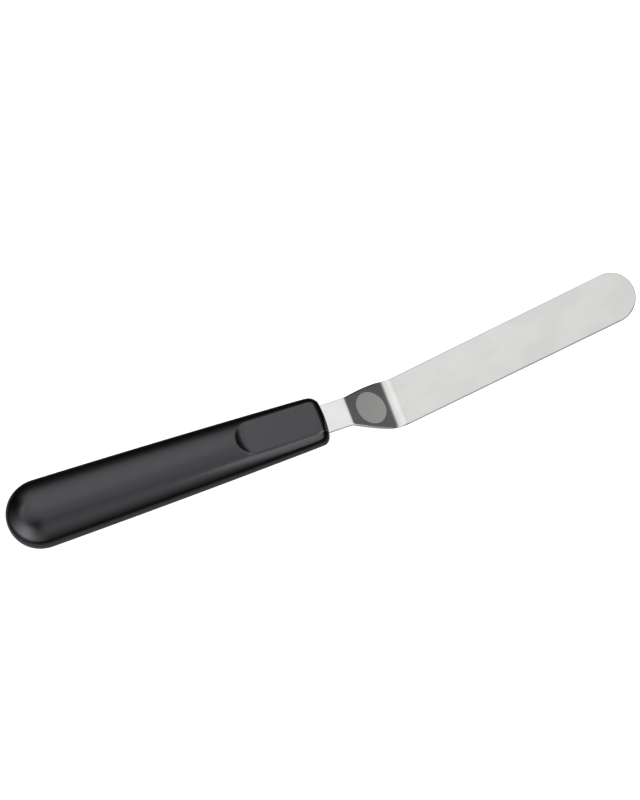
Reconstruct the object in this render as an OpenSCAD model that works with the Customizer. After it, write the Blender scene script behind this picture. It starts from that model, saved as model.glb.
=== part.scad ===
// Offset spatula: a cranked spring-steel blade whose tang is clamped between two
// moulded handle shells. X runs from the butt to the blade tip, Y across, Z up.
// The spatula lies as on a table: on the underside of the butt and on the heel bend.

/* [Overall] */
// Length from the butt to the blade tip, along X
overall_length = 228.6; // [225:0.1:233]

/* [Handle] */
// Length of the handle
handle_length = 115.7; // [114:0.1:118]
// Width at the butt
butt_width = 25.2; // [23:0.1:27]
// Width halfway along
middle_width = 22.3; // [21:0.1:24]
// Width at the front end
front_width = 18; // [16.5:0.1:19]
// Thickness of the handle as a share of its width
thickness_share = 0.69; // [0.62:0.01:0.74]
// Roundness of the cross-section, where 2 is an ellipse
section_power = 2.1; // [2:0.05:2.6]
// Radius of the front corners, seen from above
corner_radius = 2.4; // [1.5:0.1:3]
// Radius of the front edges, seen from the side
front_edge_radius = 1.8; // [1:0.1:2.2]
// Wall of the hollow shells
shell_wall = 2.4; // [2:0.1:2.6]
// Solid length behind the front end, which grips the tang
nose_length = 8; // [6:0.5:12]

/* [Finger pad] */
// Distance from the butt to the rim of the pad
pad_start = 83; // [78:0.5:88]
// Radius of the scooped back wall of the pad
pad_scoop_radius = 8; // [7:0.5:16]
// Height of the pad floor over the parting plane, at its back
pad_back_height = 5.6; // [5.4:0.05:5.8]
// Height of the pad floor over the parting plane, at the front end
pad_front_height = 4.8; // [4.6:0.05:5.2]

/* [Blade] */
// Thickness of the steel sheet
sheet = 1; // [0.8:0.05:1.2]
// Width of the neck and the tang
neck_width = 10.7; // [9:0.1:12]
// Length of neck between the handle and the first bend
neck_length = 8.8; // [6:0.1:11]
// Slope of the slanted part, downwards in degrees
slant_angle = 25; // [20:0.5:28]
// Slope of the blade, upwards in degrees
blade_angle = 23; // [18:0.5:28]
// Width across the heel bend
heel_width = 18.3; // [17:0.1:19]
// Width of the blade
blade_width = 18.3; // [18:0.1:22]
// Inside radius of the first bend
neck_bend_radius = 2.2; // [1:0.1:4]
// Inside radius of the heel bend
heel_bend_radius = 6.5; // [4:0.5:12]
// Length of the rounded tip as a share of the half width
tip_share = 0.95; // [0.8:0.05:1]

/* [Tang and posts] */
// Distance from the butt to the hidden end of the tang
tang_start = 40; // [36:1:46]
// Diameter of the holes in the tang
tang_hole_diameter = 4.2; // [4:0.1:5]
// Clearance between a post and what it passes through, on the diameter
post_clearance = 0.2; // [0.1:0.05:0.3]
// Side clearance between the tang and its pocket
pocket_clearance = 0.1; // [0.05:0.05:0.2]
// Outer diameter of the bosses around the posts
boss_diameter = 7.6; // [7:0.1:9]
// Height of the posts over the parting plane
post_height = 3.4; // [2.5:0.1:3.6]
// Thickness of the ribs
rib_thickness = 1.4; // [1:0.1:2]

/* [Hidden] */

steel_colour = "gainsboro";
upper_colour = [0.16, 0.16, 0.17];
lower_colour = [0.11, 0.11, 0.12];

butt_radius = butt_width / 2;
butt_stations = [for (i = [0 : 9]) butt_radius * (1 - cos(10 * i))];

// The parting plane of the handle, and so the top of the tang, lies this high.
parting_height = max([for (x = butt_stations) half_height(x)]);

// Heights and distances below are measured from the parting plane and the butt.
post_positions = [22, 60, 98];
tang_posts = [60, 98];
rib_positions = [34, 47, 73, 86];
post_diameter = tang_hole_diameter - post_clearance;
// The post ends this far short of the bottom of its socket.
socket_relief = 0.4;
// The cavity starts this far from the butt.
butt_wall = 3;

section_steps = 22;
bend_steps = 12;
cap_steps = 24;
big = 60;

// ---- blade outline and profile ----

bend_sum = slant_angle + blade_angle;
bend_difference = blade_angle - slant_angle;
neck_mid_radius = neck_bend_radius + sheet / 2;
heel_mid_radius = heel_bend_radius + sheet / 2;

// Corners of the sheet's middle line, before the bends round them off.
neck_corner = [
    handle_length + neck_length - sheet / 2 * tan(slant_angle / 2),
    -sheet / 2
];
heel_drop = parting_height - heel_mid_radius - sheet / 2
    + heel_mid_radius * cos(bend_difference / 2) / cos(bend_sum / 2);
slant_length = (heel_drop - sheet / 2) / sin(slant_angle);
heel_corner = neck_corner + slant_length * [cos(slant_angle), -sin(slant_angle)];

neck_centre = neck_corner - neck_mid_radius * [tan(slant_angle / 2), 1];
heel_centre = heel_corner + heel_mid_radius / cos(bend_sum / 2)
    * [-sin(bend_difference / 2), cos(bend_difference / 2)];

function arc(centre, radius, from, to, steps) = [
    for (i = [0 : steps])
        let (a = from + (to - from) * i / steps)
            centre + radius * [cos(a), sin(a)]
];

// One face of the sheet from the tang to past the tip; side is 1 on top, -1 below.
function sheet_face(side) =
    let (
        lift = side * sheet / 2,
        blade_normal = [-sin(blade_angle), cos(blade_angle)],
        reach = (overall_length - heel_corner.x + sheet) / cos(blade_angle)
    )
    concat(
        [[tang_start, neck_corner.y + lift]],
        arc(neck_centre, neck_mid_radius + lift, 90, 90 - slant_angle, bend_steps),
        arc(heel_centre, heel_mid_radius - lift, 270 - slant_angle, 270 + blade_angle,
            bend_steps),
        [heel_corner + reach * [cos(blade_angle), sin(blade_angle)]
            + lift * blade_normal]
    );

function reversed(list) = [for (i = [len(list) - 1 : -1 : 0]) list[i]];

function smooth(t) = t * t * (3 - 2 * t);

// The slant opens out quickly at the neck and rounds off before the heel.
flare_length = 0.8 * slant_length * cos(slant_angle);
flare_steps = 12;
shoulder_length = 7.5;
shoulder_steps = 5;
tip_length = tip_share * blade_width / 2 * cos(blade_angle);

function flare(t) = (t + sin(90 * t)) / 2;

// Half of the outline from the tang's end to the tip, seen from above.
half_outline = concat(
    arc([tang_start + neck_width / 2, 0], neck_width / 2, 180, 90, bend_steps),
    [for (i = [0 : flare_steps]) [
        neck_corner.x + flare_length * i / flare_steps,
        (neck_width + (heel_width - neck_width) * flare(i / flare_steps)) / 2
    ]],
    [for (i = [0 : shoulder_steps]) [
        heel_corner.x + shoulder_length * i / shoulder_steps,
        (heel_width + (blade_width - heel_width) * smooth(i / shoulder_steps)) / 2
    ]],
    [for (i = [0 : cap_steps])
        let (a = 90 * i / cap_steps) [
            overall_length - tip_length + tip_length * sin(a),
            blade_width / 2 * cos(a)
        ]
    ]
);

module blade_outline() {
    far_side = half_outline;
    near_side = reversed([
        for (i = [1 : len(half_outline) - 2])
            [half_outline[i].x, -half_outline[i].y]
    ]);
    polygon(concat(far_side, near_side));
}

module blade_profile() {
    polygon(concat(sheet_face(1), reversed(sheet_face(-1))));
}

// ---- handle form ----

// Width of the handle: a smooth curve through its three given widths.
function handle_width(x) =
    let (t = x / handle_length)
    butt_width * (1 - t) * (1 - 2 * t)
    + middle_width * 4 * t * (1 - t)
    + front_width * t * (2 * t - 1);

// The butt is a half circle from above and a blunter dome from the side.
function butt_share(x, power) =
    x >= butt_radius ? 1 : pow(1 - pow(1 - max(x, 0.05) / butt_radius, 2), power);

function front_loss(x, radius) =
    let (past = x - (handle_length - radius))
    past <= 0 ? 0 : radius - sqrt(max(0, radius * radius - past * past));

function half_width(x) =
    handle_width(x) / 2 * butt_share(x, 0.5) - front_loss(x, corner_radius);

function half_height(x) =
    handle_width(x) / 2 * thickness_share * butt_share(x, 0.4)
    - front_loss(x, front_edge_radius);

// Half of a rounded section; side is 1 above the parting plane, -1 below.
function half_section(x, inset, side) = [
    for (j = [0 : section_steps])
        let (
            a = 180 * j / section_steps,
            across = abs(cos(a)) < 1e-9 ? 0 : cos(a),
            y = (half_width(x) - inset) * sign(across)
                * pow(abs(across), 2 / section_power),
            z = (half_height(x) - inset) * pow(max(0, sin(a)), 2 / section_power)
        )
        [x, side * y, side * z]
];

// A solid through half sections at the given distances from the butt.
module half_loft(stations, inset, side) {
    count = section_steps + 1;
    last = len(stations) - 1;
    points = [for (x = stations) each half_section(x, inset, side)];
    back = [for (j = [0 : count - 1]) j];
    front = [for (j = [count - 1 : -1 : 0]) last * count + j];
    skin = [
        for (i = [0 : last - 1], j = [0 : count - 1])
            let (k = (j + 1) % count)
            [i * count + j, (i + 1) * count + j, (i + 1) * count + k, i * count + k]
    ];
    polyhedron(points = points, faces = concat([back, front], skin), convexity = 4);
}

body_stations = [
    for (i = [1 : 9])
        butt_radius + (handle_length - corner_radius - butt_radius) * i / 9
];
nose_stations = [
    for (i = [1 : 5]) handle_length - corner_radius + corner_radius * sin(18 * i)
];
outer_stations = concat(butt_stations, body_stations, nose_stations);
cavity_end = handle_length - nose_length;
cavity_stations = concat(
    [butt_wall],
    [for (i = [5 : 9]) butt_stations[i]],
    [for (i = [1 : 6]) butt_radius + (cavity_end - butt_radius) * i / 6]
);

module shell(side) {
    difference() {
        half_loft(outer_stations, 0, side);
        half_loft(cavity_stations, shell_wall, side);
    }
}

// Something inside a shell, cut to end inside its wall.
module inside_shell(side) {
    intersection() {
        half_loft(outer_stations, shell_wall / 2, side);
        children();
    }
}

// Upright plates across the cavity, from one height to another.
module ribs(low, high) {
    for (x = rib_positions)
        translate([x - rib_thickness / 2, -big / 2, low])
            cube([rib_thickness, big, high - low]);
}

module at_posts(positions) {
    for (x = positions) translate([x, 0, 0]) children();
}

// A slab above the pad: its underside is the pad's scooped wall and sloping floor.
module pad_cut() {
    slope = atan((pad_back_height - pad_front_height)
        / (handle_length - pad_start));
    rim_rise = half_height(pad_start) - pad_back_height;
    scoop_reach = sqrt(2 * pad_scoop_radius * rim_rise - rim_rise * rim_rise);
    floor_start = pad_start + scoop_reach;
    scoop_angle = acos(1 - rim_rise / pad_scoop_radius);
    scoop = arc([floor_start, pad_back_height + pad_scoop_radius], pad_scoop_radius,
        270 - scoop_angle - 2, 270 - slope, bend_steps);
    front_end = [handle_length + 1, pad_front_height];
    rotate([90, 0, 0])
        linear_extrude(height = big, center = true)
            polygon(concat(
                scoop,
                [front_end, [front_end.x, big], [scoop[0].x, big]]
            ));
}

// ---- sub-parts, drawn from the butt and the parting plane ----

module blade() {
    color(steel_colour) placed() difference() {
        intersection() {
            rotate([90, 0, 0])
                linear_extrude(height = big, center = true) blade_profile();
            translate([0, 0, -big])
                linear_extrude(height = 2 * big) blade_outline();
        }
        at_posts(tang_posts)
            translate([0, 0, -2 * sheet])
                cylinder(d = tang_hole_diameter, h = 4 * sheet, $fn = 48);
    }
}

module handle_upper_shell() {
    color(upper_colour) placed() difference() {
        union() {
            shell(1);
            inside_shell(1) ribs(0, big);
            inside_shell(1) at_posts(post_positions)
                cylinder(d = boss_diameter, h = big, $fn = 48);
        }
        pad_cut();
        at_posts(post_positions)
            translate([0, 0, -1])
                cylinder(d = tang_hole_diameter,
                    h = post_height + socket_relief + 1, $fn = 48);
    }
}

module handle_lower_shell() {
    color(lower_colour) placed() {
        difference() {
            union() {
                shell(-1);
                inside_shell(-1) ribs(-big, 0);
                inside_shell(-1) at_posts(post_positions)
                    translate([0, 0, -big])
                        cylinder(d = boss_diameter, h = big, $fn = 48);
            }
            tang_pocket();
        }
        at_posts(post_positions)
            translate([0, 0, -2 * sheet])
                cylinder(d = post_diameter, h = 2 * sheet + post_height, $fn = 48);
    }
}

// The room for the tang, as deep as the sheet is thick.
module tang_pocket() {
    width = neck_width + 2 * pocket_clearance;
    translate([tang_start + neck_width / 2, 0, -sheet])
        cylinder(d = width, h = 2 * sheet, $fn = 64);
    translate([tang_start + neck_width / 2, -width / 2, -sheet])
        cube([handle_length - tang_start, width, 2 * sheet]);
}

// Moves a sub-part so that the whole spatula stands on z = 0 and is centred in X.
module placed() {
    translate([-overall_length / 2, 0, parting_height]) children();
}

blade();
handle_upper_shell();
handle_lower_shell();
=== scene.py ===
"""The looks of the offset spatula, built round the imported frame.

The steel strip and the two handle shells are meshed from the same rules as the frame, in
millimetres measured from the butt and the parting plane, and then moved into the row frame.
"""
import math

import bpy
import numpy as np
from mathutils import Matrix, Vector


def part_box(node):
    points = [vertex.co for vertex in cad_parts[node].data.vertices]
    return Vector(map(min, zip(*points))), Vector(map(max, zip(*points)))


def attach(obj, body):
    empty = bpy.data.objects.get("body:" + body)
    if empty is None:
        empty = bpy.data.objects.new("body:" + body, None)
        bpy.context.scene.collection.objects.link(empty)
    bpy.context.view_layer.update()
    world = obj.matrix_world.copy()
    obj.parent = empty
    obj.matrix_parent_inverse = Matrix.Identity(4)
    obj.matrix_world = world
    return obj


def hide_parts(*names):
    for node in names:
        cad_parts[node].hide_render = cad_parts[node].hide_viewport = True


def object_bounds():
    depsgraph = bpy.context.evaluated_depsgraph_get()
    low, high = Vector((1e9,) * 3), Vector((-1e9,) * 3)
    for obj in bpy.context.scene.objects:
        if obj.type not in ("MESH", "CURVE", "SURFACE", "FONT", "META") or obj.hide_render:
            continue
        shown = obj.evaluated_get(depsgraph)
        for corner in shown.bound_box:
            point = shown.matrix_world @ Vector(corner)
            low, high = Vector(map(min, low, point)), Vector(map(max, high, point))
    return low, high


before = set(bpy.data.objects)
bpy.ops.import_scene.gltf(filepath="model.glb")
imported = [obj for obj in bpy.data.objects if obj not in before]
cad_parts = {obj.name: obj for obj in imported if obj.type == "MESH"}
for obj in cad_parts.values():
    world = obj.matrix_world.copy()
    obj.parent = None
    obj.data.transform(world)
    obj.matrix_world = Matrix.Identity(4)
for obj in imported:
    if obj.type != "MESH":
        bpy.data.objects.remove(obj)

CAD_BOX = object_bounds()
MM = 0.001

# ---- sizes, in millimetres ----

BLADE_LOW, BLADE_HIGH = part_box("blade")
SHELL_LOW, SHELL_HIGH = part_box("handle_upper_shell")
BUTT_X = SHELL_LOW.x
PARTING_Z = SHELL_LOW.z
PARTING_HEIGHT = (PARTING_Z - CAD_BOX[0].z) / MM
HANDLE_LENGTH = (SHELL_HIGH.x - BUTT_X) / MM
OVERALL_LENGTH = (BLADE_HIGH.x - BUTT_X) / MM
BLADE_WIDTH = (BLADE_HIGH.y - BLADE_LOW.y) / MM
TANG_START = (BLADE_LOW.x - BUTT_X) / MM

BUTT_WIDTH = 25.2
MIDDLE_WIDTH = 22.3
FRONT_WIDTH = 18.0
THICKNESS_SHARE = 0.69
SECTION_POWER = 2.1
CORNER_RADIUS = 2.4
FRONT_EDGE_RADIUS = 1.8
BUTT_RADIUS = BUTT_WIDTH / 2
# The front end is bowed: it falls back by this much at the half width given.
FRONT_BOW = 0.6
FRONT_BOW_WIDTH = 7.0
FRONT_BOW_REACH = 10.0
# The shells' edges are rounded where they meet, which leaves a fine line.
SEAM_ROUND = 0.16
# The slope that stands for an outline running straight across, at the front end.
STRAIGHT_ACROSS = -100

PAD_START = 83.0
PAD_SCOOP = 6.0
# Seen from above, the back wall of the pad is part of a circle.
PAD_PLAN_RADIUS = 11.0
PAD_BACK = 5.75
PAD_FRONT = 4.8
PAD_FRONT_RADIUS = 3.2
PAD_EDGE = 0.3
# The upper front corners are rounder than those at the parting plane.
PAD_CORNER = 4.5

SHEET = 1.0
EDGE_ROUND = 0.22
# On the slanted part the rounding of the far edge reaches further in from the side.
SLANT_EDGE = 0.75
SLANT_EDGE_DEPTH = 0.4
# The flat faces start this far inside the rounding, so that only the rounding looks round.
FLAT_START = 0.1
NECK_WIDTH = 10.7
NECK_LENGTH = 8.8
HEEL_WIDTH = 18.3
SLANT_ANGLE = math.radians(25)
BLADE_ANGLE = math.radians(23)
NECK_BEND = 2.2 + SHEET / 2
HEEL_BEND = 6.5 + SHEET / 2
SHOULDER_LENGTH = 7.5
TIP_SHARE = 0.95
# The slanted part widens over this share of its length.
FLARE_SHARE = 0.8
# The slanted part's wider edge rounding sets in over this length.
SLANT_BLEND = 1.5
DISC_LENGTH = 11.8
DISC_WIDTH = 12.4
# The disc's middle, as a share of the way down the slanted part and along Y.
DISC_PLACE = 0.49
DISC_ASIDE = -0.15
DISC_DEPTH = 0.03

SHELL_WALL = 2.4
BUTT_WALL = 3.0
NOSE_LENGTH = 8.0
RIB_THICKNESS = 1.4
RIBS = (34, 47, 73, 86)
POSTS = (22, 60, 98)
TANG_POSTS = POSTS[1:]
HOLE_DIAMETER = 4.2
POST_DIAMETER = 4.0
BOSS_DIAMETER = 7.6
POST_HEIGHT = 3.4
SOCKET_RELIEF = 0.4
POCKET_WIDTH = NECK_WIDTH + 0.2
# The cavity's loops reach this far past the parting plane, so that the cut is open there.
PAST_PLANE = 0.5
# Half the height of a cutter that passes right through a shell.
CUTTER_REACH = 20

# ---- how fine the meshes are ----

# Faces that meet at less than this angle, in degrees, are shaded as one smooth surface.
SMOOTH_BELOW = 30
CYLINDER_SIDES = 64
DISC_SIDES = 96
# Each section starts as a fine curve, which is then redrawn with fewer points.
CURVE_POINTS = 1601
SECTION_POINTS = 121
# A turn of one radian draws as many points as this many millimetres of straight curve.
TURN_WEIGHT = 2.2
CAVITY_POINTS = 45
CAVITY_STATIONS = 14
# Steps of the handle's stations, in millimetres, and in degrees round the butt and nose.
BUTT_TURN = 2.5
BODY_STEP = 1.5
RIM_STEP = 0.14
RIM_BEFORE = 1.4
RIM_AFTER = 5
PAD_STEP = 0.8
NOSE_TURN = 3
# Shrunken copies of the last loop that fill the front face.
FRONT_RINGS = (0.7, 0.4, 0.15)
# Height of the point that closes a shell's skin at the butt.
BUTT_POLE = 0.2
# Steps of the strip's stations, in millimetres, and in degrees round its ends.
END_TURN = 3
BEND_STEP = 0.25
BLADE_STEP = 1.6
TANG_STATIONS = 12
NECK_BEND_STEPS = 25
HEEL_BEND_STEPS = 61


# ---- mesh helpers ----

def placed(points):
    """Points in millimetres from the butt and the parting plane, moved into the row frame."""
    return np.asarray(points, float) * MM + (BUTT_X, 0, PARTING_Z)


def mesh_object(name, points, faces):
    mesh = bpy.data.meshes.new(name)
    mesh.from_pydata(placed(points).tolist(), [], faces)
    mesh.update()
    made = bpy.data.objects.new(name, mesh)
    bpy.context.scene.collection.objects.link(made)
    return made


def loft(name, loops, start, end):
    """A closed skin through equal loops, capped by fans round the points start and end."""
    count = len(loops[0])
    points = [point for loop in loops for point in loop] + [start, end]
    last = (len(loops) - 1) * count
    faces = []
    for j in range(count):
        k = (j + 1) % count
        faces.append((len(points) - 2, k, j))
        faces.append((len(points) - 1, last + j, last + k))
        for i in range(0, last, count):
            faces.append((i + j, i + k, i + count + k, i + count + j))
    return mesh_object(name, points, faces)


def cylinder(x, diameter, low, high):
    """An upright cylinder at a distance x from the butt."""
    turn = np.linspace(0, 2 * math.pi, CYLINDER_SIDES, endpoint=False)
    ring = [(x + diameter / 2 * math.cos(a), diameter / 2 * math.sin(a)) for a in turn]
    loops = [[(px, py, z) for px, py in ring] for z in (low, high)]
    return loft("cutter", loops, (x, 0, low), (x, 0, high))


def block(x_range, y_range, z_range):
    (x0, x1), (y0, y1), (z0, z1) = x_range, y_range, z_range
    loops = [[(x0, y0, z), (x1, y0, z), (x1, y1, z), (x0, y1, z)] for z in (z0, z1)]
    middle = ((x0 + x1) / 2, (y0 + y1) / 2)
    return loft("cutter", loops, (*middle, z0), (*middle, z1))


def combine(target, others, operation):
    """Cuts the other solids from the target, or adds them to it, and removes them."""
    for other in others:
        step = target.modifiers.new("combine", "BOOLEAN")
        step.object = other
        step.operation = operation
        step.solver = "EXACT"
        step.material_mode = "TRANSFER"
    graph = bpy.context.evaluated_depsgraph_get()
    result = bpy.data.meshes.new_from_object(target.evaluated_get(graph))
    target.modifiers.clear()
    target.data = result
    for other in others:
        bpy.data.objects.remove(other)
    return target


def shade(piece):
    """Smooth shading, with an edge kept where the faces meet at a larger angle."""
    mesh = piece.data
    mesh.polygons.foreach_set("use_smooth", [True] * len(mesh.polygons))
    mesh.set_sharp_from_angle(angle=math.radians(SMOOTH_BELOW))


# ---- handle form ----

def handle_width(x):
    t = x / HANDLE_LENGTH
    return (
        BUTT_WIDTH * (1 - t) * (1 - 2 * t)
        + MIDDLE_WIDTH * 4 * t * (1 - t)
        + FRONT_WIDTH * t * (2 * t - 1)
    )


def butt_share(x, power):
    left = 1 - min(x, BUTT_RADIUS) / BUTT_RADIUS
    return (1 - left * left) ** power


def front_loss(x, radius):
    past = max(0, x - (HANDLE_LENGTH - radius))
    return radius - math.sqrt(max(0, radius * radius - past * past))


def half_width(x):
    return handle_width(x) / 2 * butt_share(x, 0.5) - front_loss(x, CORNER_RADIUS)


def half_height(x):
    full = handle_width(x) / 2 * THICKNESS_SHARE
    return full * butt_share(x, 0.4) - front_loss(x, FRONT_EDGE_RADIUS)


def smooth(t):
    t = min(max(t, 0), 1)
    return t * t * (3 - 2 * t)


def pad_height(x, y):
    """Height of the finger pad: a scooped back wall, a sloping floor and a rounded front."""
    rise = half_height(PAD_START) - PAD_BACK
    floor_start = PAD_START + math.sqrt(2 * PAD_SCOOP * rise - rise * rise)
    wall_x = x - y ** 2 / (2 * PAD_PLAN_RADIUS)
    reach = np.clip(floor_start - wall_x, 0, PAD_SCOOP)
    scoop = PAD_SCOOP - np.sqrt(PAD_SCOOP ** 2 - reach ** 2)
    along = (x - floor_start) / (HANDLE_LENGTH - floor_start)
    floor = PAD_BACK + (PAD_FRONT - PAD_BACK) * along
    return floor + scoop - front_loss(x, PAD_FRONT_RADIUS)


def soft_lower(a, b, width):
    """The lower of two heights, blended where they differ by less than the width."""
    share = np.clip(0.5 + 0.5 * (b - a) / width, 0, 1)
    return b + (a - b) * share - width * share * (1 - share)


def outer_curve(x, side):
    """Fine points of one shell's outer curve at a station, from +Y over the middle to -Y."""
    angle = np.linspace(0, math.pi, CURVE_POINTS)
    across = np.cos(angle)
    across[len(across) // 2] = 0
    y = half_width(x) * np.sign(across) * np.abs(across) ** (2 / SECTION_POWER)
    z = half_height(x) * np.abs(np.sin(angle)) ** (2 / SECTION_POWER)
    z[[0, -1]] = 0
    if side > 0:
        z = soft_lower(z, pad_height(x, y), PAD_EDGE)
        extra = front_loss(x, PAD_CORNER) - front_loss(x, CORNER_RADIUS)
        y = y * (1 - extra / max(half_width(x), 1) * np.clip(z / PAD_FRONT, 0, 1))
    # The inset that rounds the parting edge follows the outline's own direction in plan.
    step = min(0.01, x / 2)
    slope = (half_width(x + step) - half_width(x - step)) / (2 * step)
    if x + step > HANDLE_LENGTH:
        slope = STRAIGHT_ACROSS
    near = np.clip(SEAM_ROUND - z, 0, SEAM_ROUND)
    inset = SEAM_ROUND - np.sqrt(SEAM_ROUND ** 2 - near ** 2)
    size = math.hypot(1, slope)
    return np.column_stack([
        x + inset * slope / size,
        y - np.sign(y) * inset / size,
        side * z,
    ])


def crowded(curve, count):
    """The curve through fewer points, which crowd where it turns."""
    step = np.diff(curve[:, 1:], axis=0)
    length = np.hypot(step[:, 0], step[:, 1])
    heading = np.unwrap(np.arctan2(step[:, 1], step[:, 0]))
    turn = np.abs(np.diff(heading, prepend=heading[0]))
    travel = np.concatenate([[0], np.cumsum(length + TURN_WEIGHT * turn)])
    wanted = np.linspace(0, travel[-1], count)
    return np.column_stack([np.interp(wanted, travel, curve[:, i]) for i in range(3)])


def bowed(points):
    """Bends the front end's face back towards its sides."""
    moved = np.array(points, float)
    for point in moved:
        into = (point[0] - HANDLE_LENGTH + FRONT_BOW_REACH) / FRONT_BOW_REACH
        point[0] -= FRONT_BOW * (point[1] / FRONT_BOW_WIDTH) ** 2 * smooth(into)
    return moved


def outer_stations():
    """Distances from the butt, close together where the form turns quickly."""
    turn = np.radians(np.arange(2, 90, BUTT_TURN))
    butt = [BUTT_RADIUS * (1 - math.cos(a)) for a in turn]
    body = np.arange(BUTT_RADIUS, PAD_START - BODY_STEP, BODY_STEP)
    rim = np.arange(PAD_START - RIM_BEFORE, PAD_START + RIM_AFTER, RIM_STEP)
    pad = np.arange(PAD_START + RIM_AFTER, HANDLE_LENGTH - PAD_FRONT_RADIUS, PAD_STEP)
    nose_start = HANDLE_LENGTH - CORNER_RADIUS
    turn = np.radians(np.arange(0, 90.1, NOSE_TURN))
    nose = nose_start + CORNER_RADIUS * np.sin(turn)
    return np.concatenate([butt, body, rim, pad, [nose_start - 0.4], nose])


def outer_solid(name, side):
    """One shell's outer form, filled: flat on the parting plane."""
    stations = outer_stations()
    loops = [crowded(outer_curve(x, side), SECTION_POINTS)[::side] for x in stations]
    front = loops[-1]
    middle = np.array([HANDLE_LENGTH, 0, front[:, 2].mean()])
    for share in FRONT_RINGS:
        loops.append(middle + (front - middle) * share)
    loops = [bowed(loop) for loop in loops]
    return loft(name, loops, (0, 0, side * BUTT_POLE), middle)


def cavity(side):
    """The room inside a shell, with the ribs and the bosses round the posts left standing."""
    stations = np.concatenate([
        [BUTT_WALL],
        [BUTT_RADIUS * (1 - math.cos(math.radians(a))) for a in range(50, 90, 5)],
        np.linspace(BUTT_RADIUS, HANDLE_LENGTH - NOSE_LENGTH, CAVITY_STATIONS),
    ])
    loops = []
    for x in stations:
        angle = np.linspace(0, math.pi, CAVITY_POINTS)
        across = np.sign(np.cos(angle)) * np.abs(np.cos(angle)) ** (2 / SECTION_POWER)
        y = (half_width(x) - SHELL_WALL) * across
        z = (half_height(x) - SHELL_WALL) * np.abs(np.sin(angle)) ** (2 / SECTION_POWER)
        if side > 0:
            z = np.minimum(z, pad_height(x, y) - SHELL_WALL)
        z[[0, -1]] = -PAST_PLANE
        loop = np.column_stack([np.full(len(y), x), y, side * z])
        loops.append(loop[::side])
    ends = [(stations[i], 0, side) for i in (0, -1)]
    room = loft("cavity", loops, *ends)
    through = (-CUTTER_REACH, CUTTER_REACH)
    kept = [cylinder(x, BOSS_DIAMETER, *through) for x in POSTS]
    for x in RIBS:
        along = (x - RIB_THICKNESS / 2, x + RIB_THICKNESS / 2)
        kept.append(block(along, through, through))
    return combine(room, kept, "DIFFERENCE")


def handle_upper_shell():
    shell = outer_solid("upper_shell", 1)
    sockets = [
        cylinder(x, HOLE_DIAMETER, -1, POST_HEIGHT + SOCKET_RELIEF) for x in POSTS
    ]
    return combine(shell, [cavity(1), *sockets], "DIFFERENCE")


def handle_lower_shell():
    shell = outer_solid("lower_shell", -1)
    round_end = TANG_START + NECK_WIDTH / 2
    pocket = [
        block(
            (round_end, HANDLE_LENGTH + 1),
            (-POCKET_WIDTH / 2, POCKET_WIDTH / 2),
            (-SHEET, SHEET),
        ),
        cylinder(round_end, POCKET_WIDTH, -SHEET, SHEET),
    ]
    combine(shell, [cavity(-1), *pocket], "DIFFERENCE")
    posts = [cylinder(x, POST_DIAMETER, -3 * SHEET, POST_HEIGHT) for x in POSTS]
    return combine(shell, posts, "UNION")


# ---- blade form ----

BEND_SUM = SLANT_ANGLE + BLADE_ANGLE
NECK_CORNER = np.array([
    HANDLE_LENGTH + NECK_LENGTH - SHEET / 2 * math.tan(SLANT_ANGLE / 2),
    -SHEET / 2,
])
HEEL_DROP = (
    PARTING_HEIGHT
    - HEEL_BEND
    - SHEET / 2
    + HEEL_BEND * math.cos((BLADE_ANGLE - SLANT_ANGLE) / 2) / math.cos(BEND_SUM / 2)
)
SLANT_LENGTH = (HEEL_DROP - SHEET / 2) / math.sin(SLANT_ANGLE)
SLANT_WAY = np.array([math.cos(SLANT_ANGLE), -math.sin(SLANT_ANGLE)])
HEEL_CORNER = NECK_CORNER + SLANT_LENGTH * SLANT_WAY
NECK_TANGENT = NECK_BEND * math.tan(SLANT_ANGLE / 2)
HEEL_TANGENT = HEEL_BEND * math.tan(BEND_SUM / 2)


def mid_line():
    """The sheet's middle line as fine points (x, z) with its slope at each."""
    points = [(TANG_START, NECK_CORNER[1], 0.0)]
    start = NECK_CORNER - (NECK_TANGENT, 0)
    for a in np.linspace(0, SLANT_ANGLE, NECK_BEND_STEPS):
        x = start[0] + NECK_BEND * math.sin(a)
        z = start[1] - NECK_BEND * (1 - math.cos(a))
        points.append((x, z, -a))
    start = HEEL_CORNER - HEEL_TANGENT * SLANT_WAY
    centre = start + HEEL_BEND * np.array([math.sin(SLANT_ANGLE), math.cos(SLANT_ANGLE)])
    for a in np.linspace(-SLANT_ANGLE, BLADE_ANGLE, HEEL_BEND_STEPS):
        x = centre[0] + HEEL_BEND * math.sin(a)
        z = centre[1] - HEEL_BEND * math.cos(a)
        points.append((x, z, a))
    end_x = OVERALL_LENGTH - SHEET / 2 * math.sin(BLADE_ANGLE)
    reach = (end_x - points[-1][0]) * math.tan(BLADE_ANGLE)
    points.append((end_x, points[-1][1] + reach, BLADE_ANGLE))
    return np.array(points)


def half_outline(x, end_x):
    """Half width of the strip at a distance from the butt, seen from above."""
    flare_length = FLARE_SHARE * SLANT_LENGTH * math.cos(SLANT_ANGLE)
    tip_length = TIP_SHARE * BLADE_WIDTH / 2 * math.cos(BLADE_ANGLE)
    tang_round = NECK_WIDTH / 2
    if x < TANG_START + tang_round:
        left = TANG_START + tang_round - x
        return math.sqrt(max(0, tang_round ** 2 - left ** 2))
    flare = min(max((x - NECK_CORNER[0]) / flare_length, 0), 1)
    flare = (flare + math.sin(math.pi / 2 * flare)) / 2
    width = NECK_WIDTH + (HEEL_WIDTH - NECK_WIDTH) * flare
    width += (BLADE_WIDTH - HEEL_WIDTH) * smooth((x - HEEL_CORNER[0]) / SHOULDER_LENGTH)
    past = max(0, x - (end_x - tip_length)) / tip_length
    return width / 2 * math.sqrt(max(0, 1 - past * past))


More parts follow.
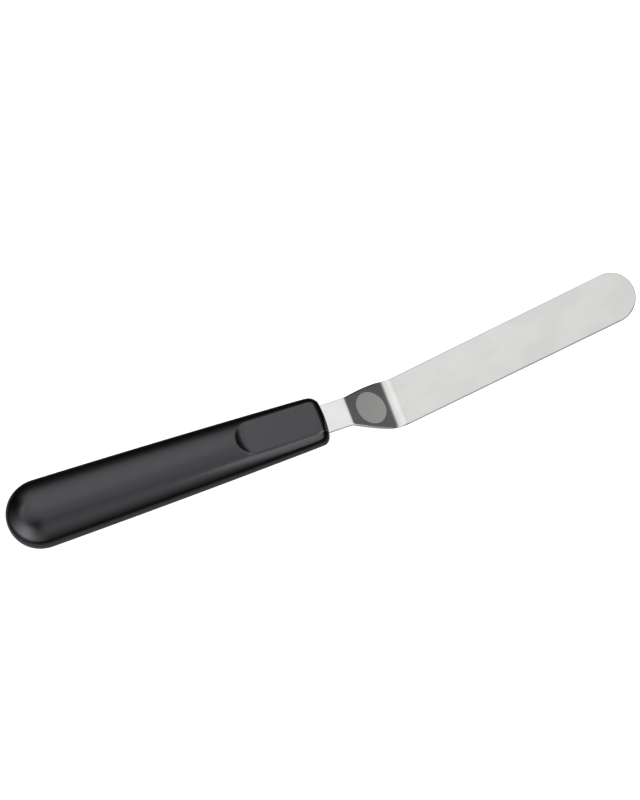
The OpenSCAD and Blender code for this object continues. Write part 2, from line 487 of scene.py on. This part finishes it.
def on_slant(x):
    """How much of the wider rounding of the slanted part's far edge applies at a distance."""
    start, end = NECK_CORNER[0], HEEL_CORNER[0] - HEEL_TANGENT
    return smooth((x - start) / SLANT_BLEND) * smooth((end - x) / SLANT_BLEND)


def blade_stations(end_x):
    """Distances from the butt, close together in the bends and at both round ends."""
    tang_round = NECK_WIDTH / 2
    turn = np.radians(np.arange(0, 90, END_TURN))
    tip_length = TIP_SHARE * BLADE_WIDTH / 2 * math.cos(BLADE_ANGLE)
    flare_end = HEEL_CORNER[0] + SHOULDER_LENGTH
    parts = [
        TANG_START + tang_round * (1 - np.cos(turn)),
        np.linspace(
            TANG_START + tang_round, NECK_CORNER[0] - NECK_TANGENT, TANG_STATIONS
        ),
        np.arange(NECK_CORNER[0] - 0.5, flare_end, BEND_STEP),
        np.arange(flare_end, end_x - tip_length, BLADE_STEP),
        end_x - tip_length + tip_length * np.sin(turn),
        [end_x],
    ]
    return np.unique(np.concatenate(parts).round(4))


def strip_faces(rings, count):
    """Faces from ring to ring round the strip's edge, and across both of its flat sides."""
    faces = []
    for low in range(0, (rings - 1) * count, count):
        high = low + count
        for i in range(count):
            k = (i + 1) % count
            faces.append((low + k, low + i, high + i, high + k))
    top = (rings - 1) * count
    for a in range(count // 2):
        b = a + 1
        c, d = (count - b) % count, (count - a) % count
        corners = [a, b] + ([c] if c != b else []) + ([d] if d != a else [])
        faces.append(tuple(corners))
        faces.append(tuple(top + j for j in reversed(corners)))
    return faces


def blade():
    """The strip: laid flat first, and then bent along its middle line."""
    line = mid_line()
    end_x = line[-1, 0]
    stations = blade_stations(end_x)
    along = np.concatenate([[0], np.cumsum(np.hypot(*np.diff(line[:, :2], axis=0).T))])
    distance = np.interp(stations, line[:, 0], along)
    half = np.array([half_outline(x, end_x) for x in stations])

    def strip_ring(ring, height):
        """Points of the flat strip, lifted off its middle line and bent into shape."""
        x = np.interp(ring[:, 0], along, line[:, 0])
        z = np.interp(ring[:, 0], along, line[:, 1])
        slope = np.interp(ring[:, 0], along, line[:, 2])
        return np.column_stack([
            x - height * np.sin(slope), ring[:, 1], z + height * np.cos(slope)
        ])

    # The strip laid flat: its far edge from end to end, then its near edge back.
    far = np.column_stack([distance, half])
    near = np.column_stack([distance, -half])[-2:0:-1]
    flat = np.concatenate([far, near])
    chord = np.roll(flat, -1, axis=0) - np.roll(flat, 1, axis=0)
    outward = np.column_stack([-chord[:, 1], chord[:, 0]])
    outward /= np.linalg.norm(outward, axis=1)[:, None]

    slant = np.array([on_slant(x) for x in stations])
    slant = np.concatenate([slant, np.zeros(len(near))])
    reach = EDGE_ROUND + (SLANT_EDGE - EDGE_ROUND) * slant
    depth = EDGE_ROUND + (SLANT_EDGE_DEPTH - EDGE_ROUND) * slant

    # Rings round the strip, from its underside over its edge to its top.
    turns = [90, 67.5, 45, 22.5, 0]
    rings = [(-1, turn, 0) for turn in turns] + [(1, turn, 0) for turn in turns[::-1]]
    rings = [(-1, 90, FLAT_START), *rings, (1, 90, FLAT_START)]
    points = []
    for side, turn, inset in rings:
        angle = math.radians(turn)
        back = inset + (EDGE_ROUND if side < 0 else reach) * (1 - math.cos(angle))
        fall = (EDGE_ROUND if side < 0 else depth) * (1 - math.sin(angle))
        height = side * (SHEET / 2 - fall)
        points.append(strip_ring(flat - outward * np.reshape(back, (-1, 1)), height))
    faces = strip_faces(len(points), len(flat))
    return mesh_object("blade_strip", np.concatenate(points), faces)


def finished_blade(steel, etched):
    """The strip with its tang holes and its shallow etched disc."""
    strip = blade()
    strip.data.materials.append(steel)
    holes = [cylinder(x, HOLE_DIAMETER, -2 * SHEET, SHEET) for x in TANG_POSTS]
    combine(strip, holes, "DIFFERENCE")
    centre = NECK_CORNER + DISC_PLACE * SLANT_LENGTH * SLANT_WAY
    normal = np.array([math.sin(SLANT_ANGLE), math.cos(SLANT_ANGLE)])
    turn = np.linspace(0, 2 * math.pi, DISC_SIDES, endpoint=False)
    loops = []
    for height in (SHEET / 2 - DISC_DEPTH, SHEET):
        middle = centre + height * normal
        loops.append([
            (
                middle[0] + DISC_LENGTH / 2 * math.cos(a) * SLANT_WAY[0],
                DISC_ASIDE + DISC_WIDTH / 2 * math.sin(a),
                middle[1] + DISC_LENGTH / 2 * math.cos(a) * SLANT_WAY[1],
            )
            for a in turn
        ])
    ends = [np.mean(loop, axis=0) for loop in loops]
    disc = loft("disc", loops, *ends)
    disc.data.materials.append(etched)
    return combine(strip, [disc], "DIFFERENCE")


# ---- materials ----

class Nodes:
    """A short way to add and join the nodes of one tree."""

    def __init__(self, tree):
        self.tree = tree

    def add(self, kind, inputs=None, **settings):
        node = self.tree.nodes.new(kind)
        for name, value in settings.items():
            setattr(node, name, value)
        for name, value in (inputs or {}).items():
            if isinstance(value, bpy.types.NodeSocket):
                self.tree.links.new(value, node.inputs[name])
            else:
                node.inputs[name].default_value = value
        return node

    def math(self, operation, a, b=0.0):
        return self.add("ShaderNodeMath", {0: a, 1: b}, operation=operation).outputs[0]

    def ramp(self, value, low, high, bottom, top):
        """A value from low to high turned smoothly into one from bottom to top."""
        node = self.add(
            "ShaderNodeMapRange",
            {"Value": value, "From Min": low, "From Max": high, "To Min": bottom,
             "To Max": top},
            interpolation_type="SMOOTHSTEP",
        )
        return node.outputs["Result"]

    def grain(self, size, detail=2.0, roughness=0.5):
        """Noise whose features have the sizes given, in millimetres, along X, Y and Z."""
        place = self.add("ShaderNodeTexCoord").outputs["Object"]
        scale = [1 / (one * MM) for one in size]
        mapped = self.add("ShaderNodeMapping", {"Vector": place, "Scale": scale})
        return self.add(
            "ShaderNodeTexNoise",
            {"Vector": mapped.outputs[0], "Scale": 1.0, "Detail": detail,
             "Roughness": roughness},
        ).outputs["Fac"]


def new_material(name, **constants):
    material = bpy.data.materials.new(name)
    material.use_nodes = True
    surface = material.node_tree.nodes["Principled BSDF"]
    for key, value in constants.items():
        surface.inputs[key.replace("_", " ")].default_value = value
    return material, Nodes(material.node_tree), surface


def link(nodes, value, surface, name):
    nodes.tree.links.new(value, surface.inputs[name])


def two_tone(nodes, value, low, high):
    """A colour between two greys, chosen by a value from 0 to 1."""
    return nodes.add(
        "ShaderNodeMix",
        {"Factor": value, "A": (*low, 1), "B": (*high, 1)},
        data_type="RGBA",
    ).outputs["Result"]


def black_plastic():
    """Moulded black plastic: satin, with a fine skin grain, flow shading and hair scratches."""
    material, nodes, surface = new_material("black_plastic", IOR=1.6)
    surface.inputs["Specular Tint"].default_value = (0.93, 0.93, 1.0, 1)
    flow = nodes.ramp(nodes.grain((45, 12, 12)), 0.35, 0.65, 0, 1)
    skin = nodes.grain((0.8, 0.8, 0.8), detail=4)
    hairs = nodes.ramp(nodes.grain((9, 0.12, 0.12), detail=1), 0.66, 0.74, 0, 1)
    colour = two_tone(nodes, flow, (0.0022, 0.0022, 0.0024), (0.003, 0.003, 0.0032))
    rough = nodes.math("ADD", nodes.math("MULTIPLY", flow, 0.03), 0.13)
    rough = nodes.math("ADD", rough, nodes.math("MULTIPLY", hairs, 0.06))
    link(nodes, colour, surface, "Base Color")
    link(nodes, rough, surface, "Roughness")
    height = nodes.math("SUBTRACT", skin, nodes.math("MULTIPLY", hairs, 0.25))
    bump = nodes.add(
        "ShaderNodeBump", {"Height": height, "Strength": 0.5, "Distance": 0.02 * MM}
    )
    link(nodes, bump.outputs[0], surface, "Normal")
    return material


def brushed_steel():
    """Satin stainless steel, brushed along its length, with faint cloudy wear."""
    material, nodes, surface = new_material("brushed_steel", Metallic=1.0)
    brush = nodes.grain((14, 0.09, 0.09), detail=4, roughness=0.6)
    cloud = nodes.ramp(nodes.grain((16, 8, 8)), 0.35, 0.65, 0, 1)
    colour = two_tone(nodes, cloud, (0.515, 0.515, 0.507), (0.545, 0.545, 0.537))
    rough = nodes.math("ADD", nodes.math("MULTIPLY", brush, 0.08), 0.13)
    rough = nodes.math("ADD", rough, nodes.math("MULTIPLY", cloud, 0.01))
    link(nodes, colour, surface, "Base Color")
    link(nodes, rough, surface, "Roughness")
    bump = nodes.add(
        "ShaderNodeBump", {"Height": brush, "Strength": 0.15, "Distance": 0.004 * MM}
    )
    link(nodes, bump.outputs[0], surface, "Normal")
    return material


def etched_steel():
    """The frosted floor of the etched disc: evenly rough, with a fine frost grain."""
    material, nodes, surface = new_material("etched_steel", Metallic=1.0)
    frost = nodes.grain((0.3, 0.3, 0.3), detail=4)
    colour = two_tone(nodes, frost, (0.37, 0.37, 0.363), (0.575, 0.575, 0.565))
    rough = nodes.math("ADD", nodes.math("MULTIPLY", frost, 0.1), 0.45)
    link(nodes, colour, surface, "Base Color")
    link(nodes, rough, surface, "Roughness")
    bump = nodes.add(
        "ShaderNodeBump", {"Height": frost, "Strength": 0.2, "Distance": 0.01 * MM}
    )
    link(nodes, bump.outputs[0], surface, "Normal")
    return material


# ---- stage, light and camera ----

def stage_material(name, colour, diffuse, glow):
    material, _, surface = new_material(name, Roughness=1.0)
    surface.inputs["Base Color"].default_value = (*[c * diffuse for c in colour], 1)
    surface.inputs["Specular IOR Level"].default_value = 0
    surface.inputs["Emission Color"].default_value = (*colour, 1)
    surface.inputs["Emission Strength"].default_value = glow
    return material


def floor_and_backdrop():
    """A plain pale floor, and a pale dome beyond it that only the camera sees."""
    pale = (1.0, 1.0, 1.0)
    radius = 3.0
    rings = [0.0005, 0.2, 0.6, 1.4, radius]
    steps = 72
    turn = [2 * math.pi * i / steps for i in range(steps)]

    def skin(name, loops):
        points = [point for loop in loops for point in loop]
        faces = [
            (r * steps + i, r * steps + (i + 1) % steps,
             (r + 1) * steps + (i + 1) % steps, (r + 1) * steps + i)
            for r in range(len(loops) - 1) for i in range(steps)
        ]
        faces.append(tuple(range(steps))[::-1])
        mesh = bpy.data.meshes.new(name)
        mesh.from_pydata(points, [], faces)
        made = bpy.data.objects.new(name, mesh)
        bpy.context.scene.collection.objects.link(made)
        return made

    ground = CAD_BOX[0].z
    floor = skin("floor", [
        [(r * math.cos(a), r * math.sin(a), ground) for a in turn] for r in rings
    ])
    floor.data.materials.append(stage_material("floor_pale", pale, 0.5, 0.85))
    heights = [math.radians(a) for a in (89, 70, 50, 30, 15, 5, 0)]
    dome = skin("backdrop", [
        [(radius * math.cos(h) * math.cos(a), radius * math.cos(h) * math.sin(a),
          ground + radius * math.sin(h)) for a in turn]
        for h in heights
    ])
    dome.data.materials.append(stage_material("backdrop_pale", pale, 0, 1.2))
    floor.visible_glossy = False
    for kind in ("diffuse", "glossy", "transmission", "shadow", "volume_scatter"):
        setattr(dome, f"visible_{kind}", False)


# How bright the studio is at each height above the horizon, in degrees, towards a few
# directions named by their angle from +Y towards +X.
STUDIO = {
    0: [(-90, 0.3), (-50, 0.25), (-35, 0.03), (-5, 0.01), (0, 0.03), (10, 0.1), (20, 0.25),
        (30, 0.72), (40, 1.17), (50, 1.43), (60, 1.58), (72, 1.57), (80, 1.4), (90, 1.12)],
    60: [(-90, 0.26), (-45, 0.3), (-20, 0.0), (16, 0.0), (22, 0.08), (28, 0.17), (36, 0.17),
         (42, 0.25), (49, 1.05), (58, 1.45), (70, 1.3), (90, 1.12)],
    110: [(-90, 0.26), (-45, 0.3), (-20, 0.0), (32, 0.02), (38, 0.5), (46, 3.2), (62, 3.2),
          (76, 1.2), (90, 1.12)],
    180: [(-90, 0.26), (-60, 0.3), (-40, 0.45), (-30, 0.3), (-20, 0.08), (-10, 0.0),
          (0, 0.04), (10, 0.2), (20, 0.4), (30, 0.72), (40, 0.98), (50, 1.1), (62, 1.0),
          (72, 0.86), (90, 1.15)],
    -150: [(-90, 0.26), (-60, 0.3), (-40, 0.45), (-20, 0.05), (-9, 0.0), (0, 1.1),
           (20, 1.1), (32, 0.75), (45, 0.35), (55, 0.1), (70, 0.12), (80, 0.5), (90, 1.12)],
    -120: [(-90, 0.28), (-45, 0.4), (-25, 0.3), (-16, 0.3), (-8, 1.5), (0, 3.2),
           (10, 3.9), (30, 3.8), (42, 2.9), (51, 1.5), (58, 0.4), (68, 0.3), (80, 0.9),
           (90, 1.12)],
    -90: [(-90, 0.26), (-45, 0.3), (-22, 0.0), (-12, 0.3), (0, 0.8), (20, 0.9), (30, 1.2),
          (45, 1.05), (60, 0.8), (70, 0.75), (80, 1.0), (90, 1.12)],
    -60: [(-90, 0.26), (-45, 0.3), (-15, 0.0), (26, 0.0), (36, 0.12), (42, 0.5),
          (46, 1.35), (50, 1.52), (54, 1.33), (58, 1.22), (64, 1.42), (75, 1.25), (90, 1.12)],
}
# No level is above the peak, because a colour ramp holds levels up to one.
STUDIO_PEAK = 4.0
# The higher, the narrower each direction's share of the studio.
STUDIO_NARROWNESS = 12

# The soft lamp stands low on the near side, beyond the front of the handle, and lights it.
LAMP_PLACE = (0.125, -0.36, 0.22)
LAMP_AIM = (-0.01, 0.0, 0.02)
LAMP_SIZE = (0.20, 0.40)
LAMP_POWER = 0.315


def studio_light():
    """Soft light from all round, blended between the studio's directions, and a lamp."""
    world = bpy.data.worlds.new("studio")
    bpy.context.scene.world = world
    world.use_nodes = True
    nodes = Nodes(world.node_tree)
    background = world.node_tree.nodes["Background"]
    way = nodes.add("ShaderNodeTexCoord").outputs["Generated"]
    height = nodes.add("ShaderNodeSeparateXYZ", {0: way}).outputs["Z"]
    place = nodes.math("MULTIPLY", nodes.math("ADD", height, 1.0), 0.5)
    flat = nodes.add("ShaderNodeVectorMath", {0: way, 1: (1, 1, 0)}, operation="MULTIPLY")
    heading = nodes.add(
        "ShaderNodeVectorMath", {0: flat.outputs[0]}, operation="NORMALIZE"
    ).outputs[0]
    light = 0.0
    whole = 1e-6
    for side, stops in STUDIO.items():
        angle = math.radians(side)
        facing = nodes.add(
            "ShaderNodeVectorMath",
            {0: heading, 1: (math.sin(angle), math.cos(angle), 0)},
            operation="DOT_PRODUCT",
        ).outputs["Value"]
        facing = nodes.math("MAXIMUM", facing, 0.0)
        share = nodes.math("POWER", facing, STUDIO_NARROWNESS)
        node = nodes.add("ShaderNodeValToRGB", {"Fac": place})
        ramp = node.color_ramp
        while len(ramp.elements) < len(stops):
            ramp.elements.new(0.5)
        for element, (degrees, level) in zip(ramp.elements, stops):
            element.position = (math.sin(math.radians(degrees)) + 1) / 2
            element.color = (*[level / STUDIO_PEAK] * 3, 1)
        part = nodes.math("MULTIPLY", node.outputs["Color"], share)
        light = nodes.math("ADD", part, light)
        whole = nodes.math("ADD", share, whole)
    light = nodes.math("DIVIDE", light, whole)
    strength = nodes.math("MULTIPLY", light, STUDIO_PEAK)
    nodes.tree.links.new(strength, background.inputs["Strength"])
    background.inputs["Color"].default_value = (1, 1, 1, 1)

    lamp = bpy.data.lights.new("soft_lamp", "AREA")
    lamp.shape = "RECTANGLE"
    lamp.size, lamp.size_y = LAMP_SIZE
    lamp.energy = LAMP_POWER
    holder = bpy.data.objects.new("soft_lamp", lamp)
    bpy.context.scene.collection.objects.link(holder)
    holder.location = LAMP_PLACE
    way = Vector(LAMP_PLACE) - Vector(LAMP_AIM)
    holder.rotation_euler = way.to_track_quat("Z", "Y").to_euler()


def camera():
    """Looks down on the spatula from the near side, a little from its butt end."""
    azimuth, elevation = math.radians(-19.67), math.radians(68.74)
    distance = 0.6229
    target = Vector((0.0015, 0.0052, 0.014))
    lens = bpy.data.cameras.new("camera")
    lens.lens = 80.3
    lens.sensor_width = 36
    lens.clip_start = 0.01
    made = bpy.data.objects.new("camera", lens)
    bpy.context.scene.collection.objects.link(made)
    back = Vector((
        math.sin(azimuth) * math.cos(elevation),
        -math.cos(azimuth) * math.cos(elevation),
        math.sin(elevation),
    ))
    made.location = target + back * distance
    made.rotation_euler = back.to_track_quat("Z", "Y").to_euler()
    bpy.context.scene.camera = made


# ---- the scene ----

def keep(piece, node):
    shade(piece)
    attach(piece, "root")
    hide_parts(node)


plastic = black_plastic()
steel_strip = finished_blade(brushed_steel(), etched_steel())
upper = handle_upper_shell()
lower = handle_lower_shell()
for half in (upper, lower):
    half.data.materials.clear()
    half.data.materials.append(plastic)
keep(steel_strip, "blade")
keep(upper, "handle_upper_shell")
keep(lower, "handle_lower_shell")
camera()
floor_and_backdrop()
studio_light()
bpy.context.scene.view_settings.view_transform = "Standard"
